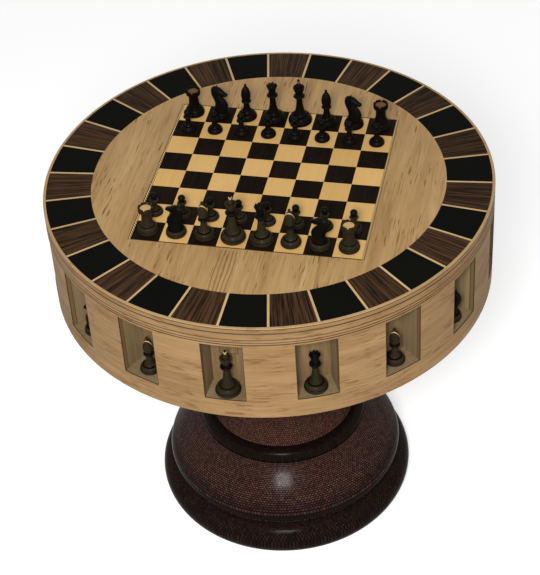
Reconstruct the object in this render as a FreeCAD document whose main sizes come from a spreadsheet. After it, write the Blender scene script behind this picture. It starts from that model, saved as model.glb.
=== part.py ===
# Round chess table. A drum top carries an inlaid board and a ring of inlaid segments, and sixteen
# niches round the drum hold spare men. The drum stands on a turned pedestal shaped like the foot
# of a chessman. Two full sets of men stand on the board.
# Frame: +Z up, millimetres, origin on the floor under the table's axis, board edges along X and Y.
import FreeCAD
import Part
import Sketcher
import math
import os

Vector = FreeCAD.Vector
doc = FreeCAD.newDocument("chess_table")
sheet = doc.addObject("Spreadsheet::Sheet", "sizes")

TABLE_SIZES = {
    "table_height": 730,
    # inlays, all one thickness, flush with the top
    "tile_thickness": 4,
    "square_side": 50,
    "side_string_width": 4,
    "end_string_width": 1.5,
    "panel_margin": 28.26,
    "ring_width": 80,
    "ring_segments": 30,
    "ring_divider_width": 4,
    "ring_turn": -0.5,
    # rim: four bands wrapped round the core, stepped by small chamfers
    "rim_lip_width": 5,
    "rim_depth": 15,
    "upper_band_height": 11.2,
    "wide_band_height": 13.4,
    "upper_bead_height": 6.2,
    "lower_bead_height": 4.8,
    "rim_chamfer": 0.7,
    # drum: lower ring, sixteen posts, upper ring, and the band that backs the niches
    "drum_height": 164.4,
    "drum_sill_height": 37.6,
    "drum_head_height": 4.4,
    "drum_wall": 46,
    "niche_count": 16,
    "niche_width": 70,
    "back_band_thickness": 8,
    "drum_floor_thickness": 18,
    "drum_floor_recess": 6,
    # pedestal
    "foot_height": 62,
    "foot_base_radius": 238,
    "foot_radius": 248,
    "foot_crease_radius": 222,
    "dome_height": 104,
    "dome_edge_radius": 229,
    "dome_edge_height": 41,
    "dome_top_radius": 161,
    "bead_height": 23.5,
    "bead_top_radius": 139.5,
    "stem_waist_radius": 86,
    "stem_head_radius": 126,
    "stem_head_height": 20,
    "stem_head_step": 5,
    # tie rod through the pedestal, with a nut and washer at each end
    "rod_radius": 8,
    "rod_clearance": 0.5,
    "nut_height": 13,
    "nut_radius": 13.8,
    "washer_radius": 17,
    "washer_thickness": 3,
    "foot_counterbore_radius": 22,
    "foot_counterbore_depth": 26,
    "rod_end": 5,
    # setting of the men
    "niche_man_gap": 1.5,
    "knight_turn": 20,
}

# Radii from the board outwards: the panel clears the board's corners by its margin, then come the
# ring and the rim's lip. The core ends under the rim bands.
TABLE_RADII = {
    "board_corner_radius": "hypot(square_side * 4 + side_string_width; square_side * 4 + end_string_width)",
    "ring_inner_radius": "board_corner_radius + panel_margin",
    "ring_outer_radius": "ring_inner_radius + ring_width",
    "table_radius": "ring_outer_radius + rim_lip_width",
    "core_radius": "table_radius - rim_depth",
}

# Each kind of man: foot radius and height, the crease where the stem stands on the foot, neck
# radius and the height where the stem has narrowed to it, the collar's radius and height, and the
# man's own height.
MAN_SIZES = {
    "king": {"foot": 22, "foot_rise": 15, "crease": 13.4, "neck": 6.2, "neck_at": 34,
             "collar": 10.9, "collar_at": 56.5, "tall": 92.5},
    "queen": {"foot": 20.6, "foot_rise": 14, "crease": 12.9, "neck": 6.1, "neck_at": 31,
              "collar": 10.5, "collar_at": 54, "tall": 81},
    "bishop": {"foot": 18.1, "foot_rise": 12, "crease": 11.4, "neck": 5.7, "neck_at": 27,
               "collar": 9.3, "collar_at": 37, "tall": 71.5},
    "pawn": {"foot": 14.2, "foot_rise": 9.2, "crease": 8.9, "neck": 4.5, "neck_at": 20,
             "collar": 8, "collar_at": 28, "tall": 43.5},
    "rook": {"foot": 18.3, "foot_rise": 14.2, "crease": 11.9, "neck": 8.9, "tall": 52.5},
    "knight": {"foot": 18.1, "foot_rise": 12, "crease": 14, "tall": 65},
}
MAN_DETAILS = {
    "foot_band": 5.4,
    "crease_step": 0.9,
    "collar_thickness": 5.6,
    "king_crown_base": 7.2,
    "king_crown_radius": 10.7,
    "king_crown_at": 75,
    "king_rim_rise": 5.6,
    "king_cone_radius": 3.9,
    "king_notches": 8,
    "queen_crown_base": 6.4,
    "queen_crown_radius": 10,
    "queen_crown_at": 73,
    "queen_rim_rise": 2.4,
    "queen_dome_radius": 6,
    "queen_notches": 9,
    "crown_lip": 1.4,
    "crown_wall": 2.7,
    "crown_well_depth": 2.2,
    "crown_notch_width": 3.8,
    "crown_notch_depth": 1.9,
    "finial_radius": 2.6,
    "bishop_mitre_base": 7.4,
    "bishop_mitre_radius": 8.7,
    "bishop_mitre_at": 52,
    "bishop_cut_width": 1.3,
    "bishop_cut_depth": 11,
    "bishop_cut_at": 48,
    "bishop_cut_slope": 2.9,
    "pawn_head_radius": 6.4,
    "rook_crown_radius": 13.4,
    "rook_crown_height": 8,
    "rook_flare_height": 8.5,
    "rook_well_radius": 10.2,
    "rook_well_depth": 3.2,
    "rook_notch_width": 3.6,
    "rook_notches": 6,
    "knight_thickness": 15,
}

BACK_RANK = ["rook", "knight", "bishop", "king", "queen", "bishop", "knight", "rook"]


def fill_sheet():
    entries = dict(TABLE_SIZES)
    entries.update(MAN_DETAILS)
    for kind, sizes in MAN_SIZES.items():
        for name, number in sizes.items():
            entries[f"{kind}_{name}"] = number
    for name, formula in TABLE_RADII.items():
        entries[name] = f"={formula}"
    for row, (alias, number) in enumerate(entries.items(), start=1):
        sheet.set(f"A{row}", alias)
        sheet.set(f"B{row}", str(number))
        sheet.setAlias(f"B{row}", alias)
    doc.recompute()


# A size, or a sum of sizes: its number places the first drawing, its text drives the expressions.
class Size:
    def __init__(self, number, text):
        self.number = number
        self.text = text

    def join(self, sign, number, other, swap=False):
        left, right = (other.text, self.text) if swap else (self.text, other.text)
        return Size(number, f"({left} {sign} {right})")

    def __add__(self, other):
        other = as_size(other)
        return self.join("+", self.number + other.number, other)

    def __radd__(self, other):
        return self + other

    def __sub__(self, other):
        other = as_size(other)
        return self.join("-", self.number - other.number, other)

    def __rsub__(self, other):
        return as_size(other) - self

    def __mul__(self, other):
        other = as_size(other)
        return self.join("*", self.number * other.number, other)

    def __rmul__(self, other):
        return self * other

    def __truediv__(self, other):
        other = as_size(other)
        return self.join("/", self.number / other.number, other)

    def __rtruediv__(self, other):
        return as_size(other) / self

    def __neg__(self):
        return self * -1


def as_size(value):
    if isinstance(value, Size):
        return value
    return Size(float(value), f"({value})")


def size(alias):
    return Size(float(sheet.get(alias)), f"sizes.{alias}")


def cosine(angle):
    angle = as_size(angle)
    return Size(math.cos(math.radians(angle.number)), f"cos({angle.text})")


def sine(angle):
    angle = as_size(angle)
    return Size(math.sin(math.radians(angle.number)), f"sin({angle.text})")


def arcsine(ratio):
    return Size(math.degrees(math.asin(ratio.number)), f"(asin({ratio.text}) / 1 deg)")


def distance(start, end):
    run = as_size(end[0]) - start[0]
    rise = as_size(end[1]) - start[1]
    return Size(math.hypot(run.number, rise.number), f"hypot({run.text}; {rise.text})")


def bind(item, prop, value):
    value = as_size(value)
    item.setExpression(prop, value.text)


def move(item, x=0, y=0, z=0, turn=0):
    # sets a sub-part's Placement: a turn about Z, then a move
    item.Placement = FreeCAD.Placement(Vector(0, 0, 0), FreeCAD.Rotation(Vector(0, 0, 1), 1))
    for prop, value in (("x", x), ("y", y), ("z", z)):
        bind(item, f"Placement.Base.{prop}", value)
    bind(item, "Placement.Rotation.Angle", turn)


# An outline edge that bows by an arc, swelling away from the material or hollowing into it. Its
# radius is given, or is factor times half the edge's chord, so that a factor of 1 is a half circle.
class Bow:
    def __init__(self, factor=None, radius=None, hollow=False):
        self.factor = factor
        self.given_radius = radius
        self.hollow = hollow

    def radius(self, start, end):
        if self.factor is None:
            return as_size(self.given_radius)
        return distance(start, end) * self.factor / 2


def bulge_radius(start, end, reach):
    # radius of the arc between two points whose middle bulges to the turning radius reach
    half = distance(start, end) / 2
    bulge = reach - (as_size(start[0]) + end[0]) / 2
    radius = (half * half + bulge * bulge) / bulge / 2
    return radius if bulge.number > 0 else -radius


def swell(factor):
    return Bow(factor=factor)


def hollow(factor):
    return Bow(factor=factor, hollow=True)


def new_body(label, several=False):
    body = doc.addObject("PartDesign::Body", label)
    body.Label = label
    body.AllowCompound = several
    return body


def new_sketch(body, plane, name):
    planes = {feature.Role: feature for feature in body.Origin.OriginFeatures}
    sketch = body.newObject("Sketcher::SketchObject", name)
    sketch.AttachmentSupport = (planes[plane], [""])
    sketch.MapMode = "FlatFace"
    return sketch


def arc_between(start, end, radius, is_hollow):
    first = Vector(*start, 0)
    last = Vector(*end, 0)
    chord = last - first
    reach = math.sqrt(max(radius**2 - (chord.Length / 2) ** 2, 0))
    inward = Vector(-chord.y, chord.x, 0).normalize()
    if is_hollow:
        first, last = last, first
        inward = -inward
    centre = (first + last) / 2 + inward * reach
    circle = Part.Circle(centre, Vector(0, 0, 1), radius)
    turns = [math.atan2(spot.y - centre.y, spot.x - centre.x) for spot in (first, last)]
    if turns[1] < turns[0]:
        turns[1] += 2 * math.pi
    return Part.ArcOfCircle(circle, turns[0], turns[1])


def pin_down(sketch, edge, end, place):
    # fixes one sketch point by its two distances from the origin
    for kind, value, axis in (("DistanceX", place[0], -2), ("DistanceY", place[1], -1)):
        value = as_size(value)
        if abs(value.number) < 1e-9:
            sketch.addConstraint(Sketcher.Constraint("PointOnObject", edge, end, axis))
            continue
        rule = sketch.addConstraint(Sketcher.Constraint(kind, -1, 1, edge, end, value.number))
        sketch.setExpression(f"Constraints[{rule}]", value.text)


def draw_outline(sketch, outline):
    # outline: corners counter-clockwise, each with an optional Bow for the edge that leaves it
    count = len(outline)
    ends = []
    for index, corner in enumerate(outline):
        start = corner[:2]
        end = outline[(index + 1) % count][:2]
        flat_start = [as_size(value).number for value in start]
        flat_end = [as_size(value).number for value in end]
        if len(corner) == 2:
            line = Part.LineSegment(Vector(*flat_start, 0), Vector(*flat_end, 0))
            edge = sketch.addGeometry(line, False)
            ends.append((edge, 1, 2))
            continue
        bow = corner[2]
        radius = bow.radius(start, end)
        arc = arc_between(flat_start, flat_end, radius.number, bow.hollow)
        edge = sketch.addGeometry(arc, False)
        ends.append((edge, 2, 1) if bow.hollow else (edge, 1, 2))
        rule = sketch.addConstraint(Sketcher.Constraint("Radius", edge, radius.number))
        sketch.setExpression(f"Constraints[{rule}]", radius.text)
    for index, (edge, start, end) in enumerate(ends):
        following = ends[(index + 1) % count]
        sketch.addConstraint(Sketcher.Constraint("Coincident", edge, end, following[0], following[1]))
        pin_down(sketch, edge, start, outline[index])


def revolve(body, outline, name="turning"):
    sketch = new_sketch(body, "XZ_Plane", f"{body.Label}_{name}_profile")
    draw_outline(sketch, outline)
    feature = body.newObject("PartDesign::Revolution", f"{body.Label}_{name}")
    feature.Profile = sketch
    feature.ReferenceAxis = (sketch, ["V_Axis"])
    feature.Angle = 360
    return feature


def pad(body, outline, height, plane="XY_Plane", name="plate", centred=False):
    sketch = new_sketch(body, plane, f"{body.Label}_{name}_outline")
    draw_outline(sketch, outline)
    feature = body.newObject("PartDesign::Pad", f"{body.Label}_{name}")
    feature.Profile = sketch
    bind(feature, "Length", height)
    feature.Midplane = centred
    return feature


def pocket(body, outline, depth, plane, name, centred=True):
    sketch = new_sketch(body, plane, f"{body.Label}_{name}_outline")
    draw_outline(sketch, outline)
    feature = body.newObject("PartDesign::Pocket", f"{body.Label}_{name}")
    feature.Profile = sketch
    bind(feature, "Length", depth)
    feature.Midplane = centred
    return feature


def repeat_round(body, feature, count):
    axes = {item.Role: item for item in body.Origin.OriginFeatures}
    pattern = body.newObject("PartDesign::PolarPattern", f"{feature.Name}_round")
    pattern.Originals = [feature]
    pattern.Axis = (axes["Z_Axis"], [""])
    pattern.Angle = 360
    bind(pattern, "Occurrences", count)
    body.Tip = pattern
    return pattern


def turned(label, outline, z=0):
    body = new_body(label)
    revolve(body, outline)
    move(body, z=z)
    return body


def box(label, length, width, height, x, y, z):
    item = doc.addObject("Part::Box", label)
    bind(item, "Length", length)
    bind(item, "Width", width)
    bind(item, "Height", height)
    move(item, x, y, z)
    return item


def cylinder(label, radius, height, z=0):
    item = doc.addObject("Part::Cylinder", label)
    bind(item, "Radius", radius)
    bind(item, "Height", height)
    move(item, z=z)
    return item


def group(label, items):
    item = doc.addObject("Part::Compound", label)
    item.Links = items
    return item


def cut(label, base, tool):
    item = doc.addObject("Part::Cut", label)
    item.Base = base
    item.Tool = tool
    return item


def ring_outline(inner, outer, height):
    return [(inner, 0), (outer, 0), (outer, height), (inner, height)]


def polar(radius, bearing):
    return radius * cosine(bearing), radius * sine(bearing)


def sector_outline(inner, outer, half_angle, margin):
    # a sector about +X, its sides set in by margin from the two radii
    half_inner = half_angle - arcsine(margin / inner)
    half_outer = half_angle - arcsine(margin / outer)
    return [polar(inner, -half_inner), (*polar(outer, -half_outer), Bow(radius=outer)),
            polar(outer, half_outer), (*polar(inner, half_inner), Bow(radius=inner, hollow=True))]


# ---- top ------------------------------------------------------------------------------------

def core_bottom():
    return size("table_height") - rim_height()


def rim_height():
    bands = ("upper_band_height", "wide_band_height", "upper_bead_height", "lower_bead_height")
    return sum((size(name) for name in bands[1:]), size(bands[0]))


def tile_bottom():
    return size("table_height") - size("tile_thickness")


def board_half():
    return size("square_side") * 4


def top_core():
    thickness = rim_height() - size("tile_thickness")
    return turned("top_core", ring_outline(0, size("core_radius"), thickness), core_bottom())


def centre_panel():
    disc = cylinder("centre_panel_disc", size("ring_inner_radius"), size("tile_thickness"),
                    tile_bottom())
    half_x = board_half() + size("side_string_width")
    half_y = board_half() + size("end_string_width")
    window = box("centre_panel_window", half_x * 2, half_y * 2, size("tile_thickness"),
                 -half_x, -half_y, tile_bottom())
    return cut("centre_panel", disc, window)


def square_corner(column, row):
    side = size("square_side")
    return side * (column - 4), side * (row - 4)


def board_squares(label, parity):
    squares = []
    for column in range(8):
        for row in range(8):
            if (column + row) % 2 == parity:
                x, y = square_corner(column, row)
                side = size("square_side")
                name = f"{label}_{column + 1}_{row + 1}"
                squares.append(box(name, side, side, size("tile_thickness"), x, y, tile_bottom()))
    return group(label, squares)


def stringing():
    half = board_half()
    side = size("side_string_width")
    end = size("end_string_width")
    thickness = size("tile_thickness")
    strips = []
    for name, x in (("left", -half - side), ("right", half)):
        strips.append(box(f"string_{name}", side, (half + end) * 2, thickness, x, -half - end,
                          tile_bottom()))
    for name, y in (("front", -half - end), ("back", half)):
        strips.append(box(f"string_{name}", half * 2, end, thickness, -half, y, tile_bottom()))
    return group("stringing", strips)


def ring_inlay(label, half_angle, margin, start, count):
    body = new_body(label, several=True)
    outline = sector_outline(size("ring_inner_radius"), size("ring_outer_radius"), half_angle, margin)
    tile = pad(body, outline, size("tile_thickness"))
    repeat_round(body, tile, count)
    move(body, z=tile_bottom(), turn=start)
    return body


def ring_inlays():
    step = 360 / size("ring_segments")
    gap = size("ring_divider_width") / 2
    front = size("ring_turn") - 90
    pairs = size("ring_segments") / 2
    black = ring_inlay("ring_black", step / 2, gap, front + step / 2, pairs)
    brown = ring_inlay("ring_brown", step / 2, gap, front + step * 1.5, pairs)
    return [black, brown, ring_dividers(step, gap, front)]


def ring_dividers(step, gap, front):
    # parallel-sided strips between the segments
    body = new_body("ring_dividers", several=True)
    inner = size("ring_inner_radius")
    outer = size("ring_outer_radius")
    near = inner * cosine(arcsine(gap / inner))
    far = outer * cosine(arcsine(gap / outer))
    outline = [(near, -gap), (far, -gap, Bow(radius=outer)), (far, gap),
               (near, gap, Bow(radius=inner, hollow=True))]
    strip = pad(body, outline, size("tile_thickness"))
    repeat_round(body, strip, size("ring_segments"))
    move(body, z=tile_bottom(), turn=front + step)
    return body


def rim_band(label, height, z):
    inner = size("core_radius")
    outer = size("table_radius")
    edge = size("rim_chamfer")
    outline = [(inner, 0), (outer - edge, 0), (outer, edge), (outer, height - edge),
               (outer - edge, height), (inner, height)]
    return turned(label, outline, z)


def edge_band():
    # the top band also frames the inlays, so its upper part is thinner
    inner = size("core_radius")
    lip = size("ring_outer_radius")
    outer = size("table_radius")
    edge = size("rim_chamfer")
    height = size("upper_band_height")
    step = height - size("tile_thickness")
    outline = [(inner, 0), (outer - edge, 0), (outer, edge), (outer, height - edge),
               (outer - edge, height), (lip, height), (lip, step), (inner, step)]
    return turned("edge_band", outline, size("table_height") - height)


def rim_bands():
    z = core_bottom()
    bands = []
    for label in ("lower_bead", "upper_bead", "wide_band"):
        height = size(f"{label}_height")
        bands.append(rim_band(label, height, z))
        z = z + height
    return bands + [edge_band()]


# ---- drum -----------------------------------------------------------------------------------

def drum_bottom():
    return core_bottom() - size("drum_height")


def niche_floor():
    return drum_bottom() + size("drum_sill_height")


def niche_height():
    return size("drum_height") - size("drum_sill_height") - size("drum_head_height")


def niche_back():
    return size("table_radius") - size("drum_wall")


def drum_rings():
    inner = niche_back()
    outer = size("table_radius")
    lower = turned("drum_lower_ring", ring_outline(inner, outer, size("drum_sill_height")),
                   drum_bottom())
    upper = turned("drum_upper_ring", ring_outline(inner, outer, size("drum_head_height")),
                   niche_floor() + niche_height())
    return [lower, upper]


def niche_posts():
    # the wall left between two niches, whose sides point at the table's axis
    body = new_body("niche_posts", several=True)
    pitch = 360 / size("niche_count")
    outer = size("table_radius")
    niche_half_angle = arcsine(size("niche_width") / 2 / outer)
    outline = sector_outline(niche_back(), outer, pitch / 2 - niche_half_angle, as_size(0))
    post = pad(body, outline, niche_height())
    repeat_round(body, post, size("niche_count"))
    move(body, z=niche_floor(), turn=pitch / 2)
    return body


def niche_back_band():
    outer = niche_back()
    outline = ring_outline(outer - size("back_band_thickness"), outer, size("drum_height"))
    return turned("niche_back_band", outline, drum_bottom())


def drum_floor_bottom():
    return drum_bottom() + size("drum_floor_recess")


def rod_bore():
    return size("rod_radius") + size("rod_clearance")


def drum_floor():
    radius = niche_back() - size("back_band_thickness")
    outline = ring_outline(rod_bore(), radius, size("drum_floor_thickness"))
    return turned("drum_floor", outline, drum_floor_bottom())


# ---- pedestal -------------------------------------------------------------------------------

def foot():
    # one round moulding from the floor up to the crease under the dome
    well = size("foot_counterbore_radius")
    depth = size("foot_counterbore_depth")
    tall = size("foot_height")
    start = (size("foot_base_radius"), 0)
    crease = (size("foot_crease_radius"), tall)
    moulding = Bow(radius=bulge_radius(start, crease, size("foot_radius")))
    outline = [(well, 0), (*start, moulding), crease, (rod_bore(), tall), (rod_bore(), depth), (well, depth)]
    return turned("pedestal_foot", outline)


def dome():
    # a rolled lower edge that bulges over the crease, then a slightly swollen cone
    tall = size("dome_height")
    start = (size("foot_crease_radius"), 0)
    edge = (size("foot_crease_radius"), size("dome_edge_height"))
    roll = Bow(radius=bulge_radius(start, edge, size("dome_edge_radius")))
    outline = [(rod_bore(), 0), (*start, roll), (*edge, swell(8.6)), (size("dome_top_radius"), tall),
               (rod_bore(), tall)]
    return turned("pedestal_dome", outline, size("foot_height"))


def bead_bottom():
    return size("foot_height") + size("dome_height")


def bead():
    tall = size("bead_height")
    outline = [(rod_bore(), 0), (size("dome_top_radius"), 0, swell(1.15)),
               (size("bead_top_radius"), tall), (rod_bore(), tall)]
    return turned("pedestal_bead", outline, bead_bottom())


def stem():
    # one hollow sweep from the bead below to the plain head that carries the drum
    bottom = bead_bottom() + size("bead_height")
    tall = drum_floor_bottom() - bottom
    head = size("stem_head_radius")
    start = (size("bead_top_radius"), 0)
    end = (head - size("stem_head_step"), tall - size("stem_head_height"))
    sweep = Bow(radius=bulge_radius(start, end, size("stem_waist_radius")), hollow=True)
    outline = [(rod_bore(), 0), (*start, sweep), end, (head, end[1]), (head, tall), (rod_bore(), tall)]
    return turned("pedestal_stem", outline, bottom)


def rod_top():
    return drum_floor_bottom() + size("drum_floor_thickness")


def nut(label, z):
    blank = doc.addObject("Part::Prism", f"{label}_blank")
    blank.Polygon = 6
    bind(blank, "Circumradius", size("nut_radius"))
    bind(blank, "Height", size("nut_height"))
    move(blank, z=z)
    return cut(label, blank, cylinder(f"{label}_bore", rod_bore(), size("nut_height"), z))


def tie_rod():
    fastening = size("washer_thickness") + size("nut_height") + size("rod_end")
    bottom = size("foot_counterbore_depth") - fastening
    top = rod_top() + fastening
    return cylinder("tie_rod", size("rod_radius"), top - bottom, bottom)


def tie_fasteners():
    washer = size("washer_thickness")
    outline = ring_outline(rod_bore(), size("washer_radius"), washer)
    low_seat = size("foot_counterbore_depth") - washer
    pieces = [turned("tie_washer_low", outline, low_seat),
              turned("tie_washer_high", outline, rod_top()),
              nut("tie_nut_low", low_seat - size("nut_height")),
              nut("tie_nut_high", rod_top() + washer)]
    return group("tie_fasteners", pieces)


# ---- men ------------------------------------------------------------------------------------
# Each kind is turned from the same foot, stem and collar, with a head of its own.

def foot_outline(kind):
    foot_radius = size(f"{kind}_foot")
    return [(0, 0), (foot_radius, 0), (foot_radius, size("foot_band")),
            (size(f"{kind}_crease"), size(f"{kind}_foot_rise"))]


def stem_outline(kind, neck_at, bow):
    rise = size(f"{kind}_foot_rise")
    stem_base = size(f"{kind}_crease") - size("crease_step")
    return [(stem_base, rise, bow), (size(f"{kind}_neck"), neck_at)]


def collar_bottom(kind):
    return size(f"{kind}_collar_at") - size("collar_thickness") / 2


def collar_top(kind):
    return size(f"{kind}_collar_at") + size("collar_thickness") / 2


def turned_man(kind, head):
    body = new_body(f"{kind}_pattern")
    stem_line = stem_outline(kind, size(f"{kind}_neck_at"), hollow(2.6))
    collar = [(size(f"{kind}_neck"), collar_bottom(kind)),
              (size(f"{kind}_collar"), size(f"{kind}_collar_at"))]
    revolve(body, foot_outline(kind) + stem_line + collar + head)
    return body


def finial(tall):
    # a small knob on a narrow neck, whose top is at height tall
    radius = size("finial_radius")
    return [(radius * 0.6, tall - radius * 1.8), (radius, tall - radius), (radius * 0.5, tall), (0, tall)]


def crowned_man(kind, inner, bow=None):
    # a flared crown with a well, where a peak of radius inner rises to the finial, straight or bowed.
    # V notches through the rim leave its points
    radius = size(f"{kind}_crown_radius")
    crown_at = size(f"{kind}_crown_at")
    rim = crown_at + size(f"{kind}_rim_rise")
    floor = rim - size("crown_well_depth")
    crown = [(size(f"{kind}_crown_base"), collar_top(kind)), (radius, crown_at),
             (radius - size("crown_lip"), rim), (radius - size("crown_wall"), floor)]
    peak = (inner, floor, bow) if bow else (inner, floor)
    body = turned_man(kind, crown + [peak] + finial(size(f"{kind}_tall")))
    half = size("crown_notch_width") / 2
    notch = [(0, rim - size("crown_notch_depth")), (half, rim), (-half, rim)]
    slot = pocket(body, notch, radius, "YZ_Plane", "notch", centred=False)
    bind(slot.Profile[0], "AttachmentOffset.Base.z", (inner + radius - size("crown_wall")) / 2)
    slot.Reversed = True
    repeat_round(body, slot, size(f"{kind}_notches"))
    return body


def pawn():
    ball = size("pawn_head_radius")
    tall = size("pawn_tall")
    # the ball starts where it is 0.6 of its radius wide, which is 0.8 of it below its middle
    head = [(size("pawn_neck"), collar_top("pawn")), (ball * 0.6, tall - ball * 1.8, Bow(radius=ball)),
            (ball, tall - ball, Bow(radius=ball)), (0, tall)]
    return turned_man("pawn", head)


def bishop():
    radius = size("bishop_mitre_radius")
    mitre = [(size("bishop_mitre_base"), collar_top("bishop")), (radius, size("bishop_mitre_at"), swell(2))]
    body = turned_man("bishop", mitre + finial(size("bishop_tall")))
    # the mitre's steep cut, open towards +X and the top
    low = size("bishop_cut_at")
    high = size("bishop_tall")
    width = size("bishop_cut_width")
    inner = radius - size("bishop_cut_depth")
    outer = inner + (high - low) / size("bishop_cut_slope")
    slit = [(inner, low), (inner + width, low), (outer + width, high), (outer, high)]
    pocket(body, slit, radius * 4, "XZ_Plane", "cut")
    return body


def queen():
    # the finial stands on a low dome
    return crowned_man("queen", size("queen_dome_radius"), swell(1.3))


def king():
    # the finial stands on a tall cone
    return crowned_man("king", size("king_cone_radius"))


def rook():
    tall = size("rook_tall")
    crown_radius = size("rook_crown_radius")
    crown_bottom = tall - size("rook_crown_height")
    well = size("rook_well_radius")
    floor = tall - size("rook_well_depth")
    body = new_body("rook_pattern")
    neck_at = crown_bottom - size("rook_flare_height")
    outline = foot_outline("rook") + stem_outline("rook", neck_at, hollow(2))
    outline += [(crown_radius, crown_bottom), (crown_radius, tall), (well, tall), (well, floor), (0, floor)]
    revolve(body, outline)
    # notches through the rim of the crown
    half = size("rook_notch_width") / 2
    notch = [(well / 2, -half), (crown_radius * 2, -half), (crown_radius * 2, half), (well / 2, half)]
    slot = pocket(body, notch, size("rook_well_depth"), "XY_Plane", "notch", centred=False)
    bind(slot.Profile[0], "AttachmentOffset.Base.z", floor)
    slot.Reversed = True
    repeat_round(body, slot, size("rook_notches"))
    return body


def knight():
    # a foot like the others' with a horse's head and neck, looking along +X
    body = new_body("knight_pattern")
    rise = size("knight_foot_rise")
    revolve(body, foot_outline("knight") + [(0, rise)])
    # chest, throat, chin, snout, brow, ear, crest and back of the neck, for a head 49.5 high
    spots = [(-12, -1), (13, -1, hollow(3)), (15.5, 15, swell(2)), (6, 27, hollow(1.6)), (3, 32.5),
             (12, 32), (15.5, 35.5, swell(1.4)), (14.5, 40.5), (8, 42.5, hollow(3)), (-2, 45.5),
             (-7, 49.5), (-9.5, 47, swell(2.2)), (-17, 34, swell(2.5)), (-10, 18, hollow(3))]
    unit = (size("knight_tall") - rise) / 49.5
    outline = [(spot[0] * unit, rise + spot[1] * unit, *spot[2:]) for spot in spots]
    pad(body, outline, size("knight_thickness"), "XZ_Plane", "head", centred=True)
    return body


def man_patterns():
    return {"pawn": pawn(), "rook": rook(), "knight": knight(), "bishop": bishop(), "queen": queen(),
            "king": king()}


def place_man(label, pattern, x, y, z, turn=0):
    man = group(label, [pattern])
    move(man, x, y, z, turn)
    return man


def facing(kind, set_turn):
    # the near set turns its cuts to the front and its knights' heads to the left
    return set_turn + (180 - size("knight_turn") if kind == "knight" else as_size(-90))


def men_on_board(patterns):
    # near set on the two front rows, far set, turned half round, on the two back rows
    men = []
    side = size("square_side")
    top = size("table_height")
    far_rank = BACK_RANK[:3] + ["queen", "king"] + BACK_RANK[5:]
    sides = [("near", BACK_RANK, side * -3.5, side * -2.5, 0),
             ("far", far_rank, side * 3.5, side * 2.5, 180)]
    for name, rank, rank_y, pawn_y, set_turn in sides:
        for column in range(8):
            x = side * (column - 3.5)
            for kind, y in ((rank[column], rank_y), ("pawn", pawn_y)):
                label = f"{name}_{kind}_{column + 1}"
                men.append(place_man(label, patterns[kind], x, y, top, facing(kind, set_turn)))
    return men


def men_in_niches(patterns):
    # one more back rank of the near set in the front niches and of the far set in those behind,
    # in the same order round the drum and turned like their sets
    places = {}
    pitch = 360 / size("niche_count")
    for number in range(16):
        kind = BACK_RANK[number % 8]
        bearing = pitch * (number - 3) - 90
        radius = niche_back() + size(f"{kind}_foot") + size("niche_man_gap")
        x, y = polar(radius, bearing)
        turn = facing(kind, 180 * (number // 8))
        label = f"niche_{kind}_{number + 1}"
        man = place_man(label, patterns[kind], x, y, niche_floor(), turn)
        places.setdefault(kind, []).append(man)
    return [group(f"niche_{kind}s", men) for kind, men in places.items()]


# ---- assembly -------------------------------------------------------------------------------

def build():
    fill_sheet()
    pieces = [top_core(), centre_panel(), stringing()]
    pieces += [board_squares("squares_dark", 0), board_squares("squares_light", 1)]
    pieces += ring_inlays() + rim_bands() + drum_rings()
    pieces += [niche_posts(), niche_back_band(), drum_floor()]
    pieces += [foot(), dome(), bead(), stem(), tie_rod(), tie_fasteners()]
    patterns = man_patterns()
    pieces += men_on_board(patterns) + men_in_niches(patterns)
    doc.recompute()
    return pieces


def check(pieces):
    for item in doc.Objects:
        if "Invalid" in item.State or "Error" in item.State:
            raise RuntimeError(f"{item.Label} did not build: {item.State}")
    for piece in pieces:
        if piece.Shape.isNull() or not piece.Shape.isValid():
            raise RuntimeError(f"{piece.Label} has no valid shape")


def write(pieces):
    os.makedirs("parts", exist_ok=True)
    for piece in pieces:
        piece.Shape.exportStep(f"parts/{piece.Label}.step")
        print(piece.Label, len(piece.Shape.Solids), round(piece.Shape.Volume / 1000, 2), "cm3")


sub_parts = build()
check(sub_parts)
write(sub_parts)
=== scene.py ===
# Looks for the round chess table: inlaid top, niches with spare men, turned pedestal, both sets of men.
import math
import bpy
import numpy as np
from mathutils import Matrix, Vector


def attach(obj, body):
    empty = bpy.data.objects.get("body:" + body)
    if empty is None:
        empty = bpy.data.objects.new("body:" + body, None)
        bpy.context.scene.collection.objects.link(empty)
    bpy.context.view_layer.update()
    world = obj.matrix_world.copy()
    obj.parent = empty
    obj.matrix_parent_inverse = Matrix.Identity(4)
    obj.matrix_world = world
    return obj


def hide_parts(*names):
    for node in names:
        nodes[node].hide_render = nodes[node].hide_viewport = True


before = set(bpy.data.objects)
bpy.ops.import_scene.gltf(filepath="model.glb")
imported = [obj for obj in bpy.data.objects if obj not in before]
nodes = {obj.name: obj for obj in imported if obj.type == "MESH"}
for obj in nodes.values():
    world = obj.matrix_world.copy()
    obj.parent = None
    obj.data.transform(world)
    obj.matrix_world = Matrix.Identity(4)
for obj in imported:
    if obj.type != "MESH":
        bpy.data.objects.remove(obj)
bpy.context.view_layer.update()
print("frame loaded:", len(nodes), "nodes")

mm = 0.001  # shapes are written in millimetres


def toLinear(level):
    # a display level from 0 to 255 as linear light from 0 to 1
    level = level / 255
    return level / 12.92 if level <= 0.04045 else ((level + 0.055) / 1.055) ** 2.4


def tone(red, green, blue):
    return (toLinear(red), toLinear(green), toLinear(blue), 1.0)


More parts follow.
